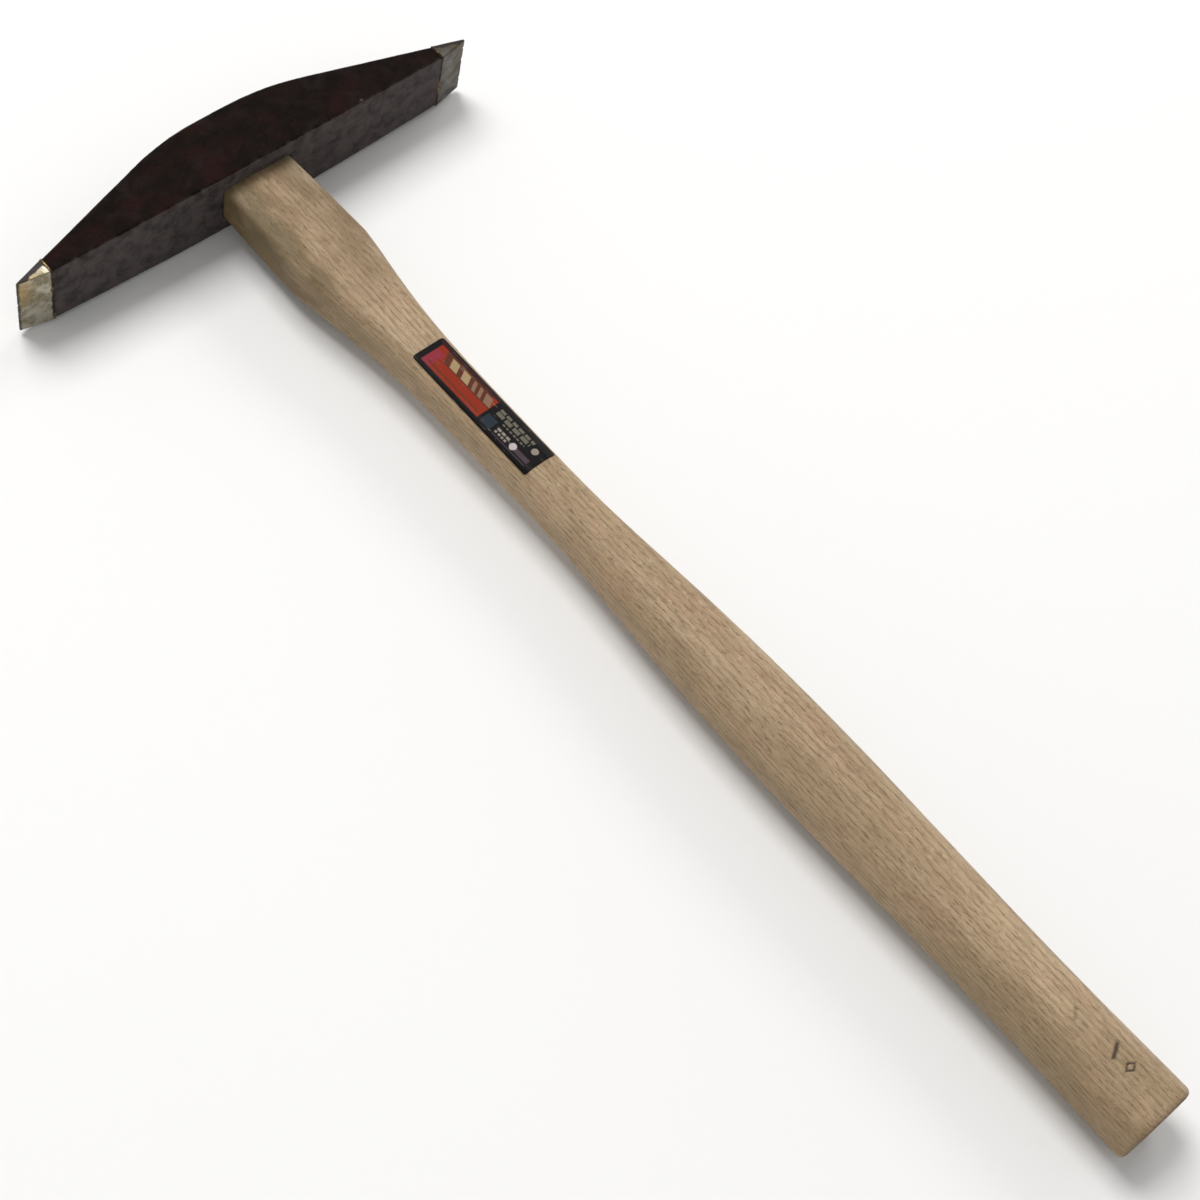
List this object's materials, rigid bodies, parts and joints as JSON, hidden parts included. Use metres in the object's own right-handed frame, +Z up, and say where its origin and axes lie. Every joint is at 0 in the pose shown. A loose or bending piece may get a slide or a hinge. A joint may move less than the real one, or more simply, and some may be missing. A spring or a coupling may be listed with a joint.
{
  "type": "brick hammer",
  "caption": "Double-bladed brick hammer: slim forged head tapering to a bright cutting edge at each end, wedged onto a long waisted oak handle with a swelling grip.",
  "frame": {"origin": "middle of the flat lower cheek of the head, below the handle's axis line at mid-height of the head; the hammer lies on this cheek", "axes": "+X along the head from one cutting edge to the other, +Y from the butt of the handle towards the crown of the head, +Z up, parallel to the cutting edges"},
  "size_m": [0.189, 0.45, 0.028],
  "materials": {
    "forged_steel": "dark brown-black forge finish, half matte",
    "hard_edge": "ground, greenish grey",
    "oak": "pale white oak, sanded, thin matte lacquer, fine grain along the handle",
    "wedge_steel": "sawn flush, dull",
    "label_film": "printed film, black with a red panel, satin"
  },
  "bodies": {
    "root": {"hammer_head": "forged_steel", "left_edge_tip": "hard_edge", "right_edge_tip": "hard_edge", "handle": "oak", "left_wedge": "wedge_steel", "right_wedge": "wedge_steel", "label": "label_film"}
  },
  "joints": []
}
